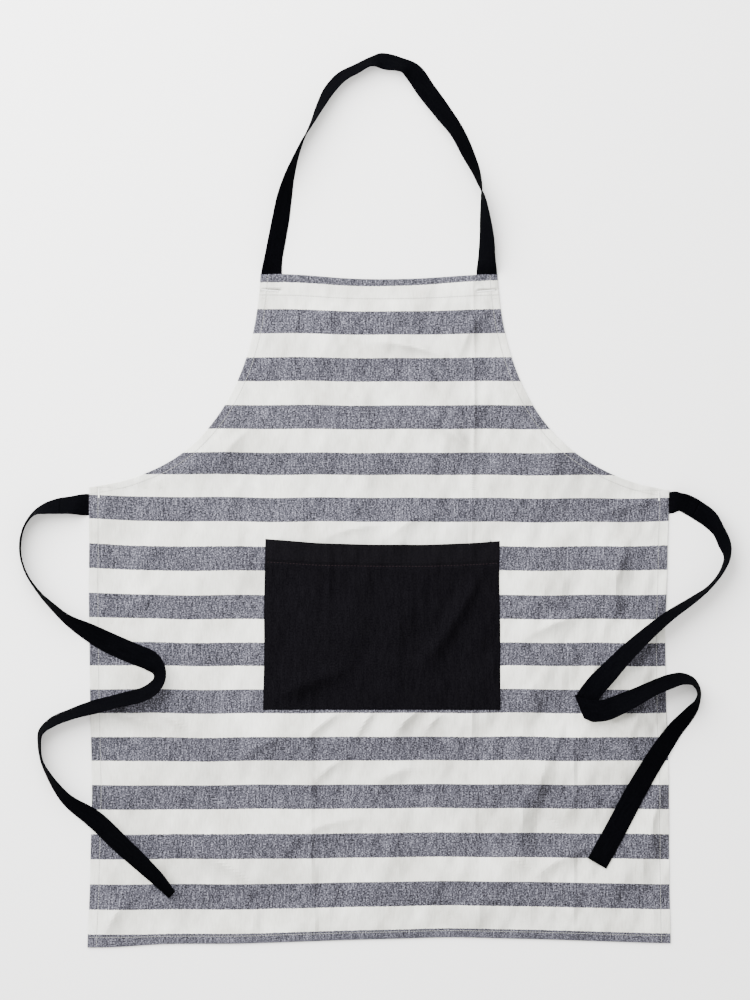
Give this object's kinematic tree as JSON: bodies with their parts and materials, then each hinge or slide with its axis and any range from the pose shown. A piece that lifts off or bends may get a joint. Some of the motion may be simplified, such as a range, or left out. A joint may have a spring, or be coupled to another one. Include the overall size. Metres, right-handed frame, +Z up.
{
  "type": "bib apron",
  "caption": "Bib apron in striped cloth with a neck loop, side ties and a front pocket, lying flat.",
  "frame": {"origin": "centre of the bounding box on the table plane the apron lies on", "axes": "+Z up from the table through the cloth, +Y from the bottom hem to the neck loop, +X to the right of the pocket side"},
  "size_m": [0.8605, 1.0799, 0.0261],
  "materials": {
    "striped_cloth": "woven cotton with yarn-dyed stripes",
    "black_cloth": "plain woven cotton",
    "black_webbing": "folded cotton strap",
    "white_thread": "spun sewing thread",
    "dark_thread": "spun sewing thread"
  },
  "bodies": {
    "skirt": {"skirt_panel": "striped_cloth", "left_side_hem": "striped_cloth", "right_side_hem": "striped_cloth", "bottom_hem": "striped_cloth", "left_side_stitches": "white_thread", "right_side_stitches": "white_thread", "bottom_hem_stitches": "white_thread", "left_tie_end": "black_webbing", "right_tie_end": "black_webbing", "left_tie_tack": "white_thread", "right_tie_tack": "white_thread", "pocket_panel": "black_cloth", "pocket_mouth_hem": "black_cloth", "pocket_seam_allowance": "black_cloth", "pocket_mouth_stitches": "dark_thread", "pocket_edge_stitches": "dark_thread"},
    "bib": {"bib_panel": "striped_cloth", "bib_top_hem": "striped_cloth", "left_armhole_hem": "striped_cloth", "right_armhole_hem": "striped_cloth", "bib_hem_stitches": "white_thread", "left_armhole_stitches": "white_thread", "right_armhole_stitches": "white_thread", "left_neck_strap_end": "black_webbing", "right_neck_strap_end": "black_webbing", "left_neck_strap_tack": "white_thread", "right_neck_strap_tack": "white_thread"},
    "neck_loop": {"neck_strap": "black_webbing"},
    "left_tie": {"left_waist_tie": "black_webbing"},
    "right_tie": {"right_waist_tie": "black_webbing"}
  },
  "joints": [
    {"name": "bib_fold", "type": "hinge", "parent": "skirt", "child": "bib", "pos_m": [0, 0.008, 0.0015], "axis": [1, 0, 0], "range_deg": [0, 90]},
    {"name": "neck_loop_fold", "type": "hinge", "parent": "bib", "child": "neck_loop", "pos_m": [0, 0.27, 0.0015], "axis": [1, 0, 0], "range_deg": [0, 150]},
    {"name": "left_tie_lift", "type": "hinge", "parent": "skirt", "child": "left_tie", "pos_m": [-0.35, 0.007, 0.001], "axis": [-1, 0, 0], "range_deg": [0, 150]},
    {"name": "right_tie_lift", "type": "hinge", "parent": "skirt", "child": "right_tie", "pos_m": [0.35, 0.007, 0.001], "axis": [-1, 0, 0], "range_deg": [0, 150]}
  ]
}
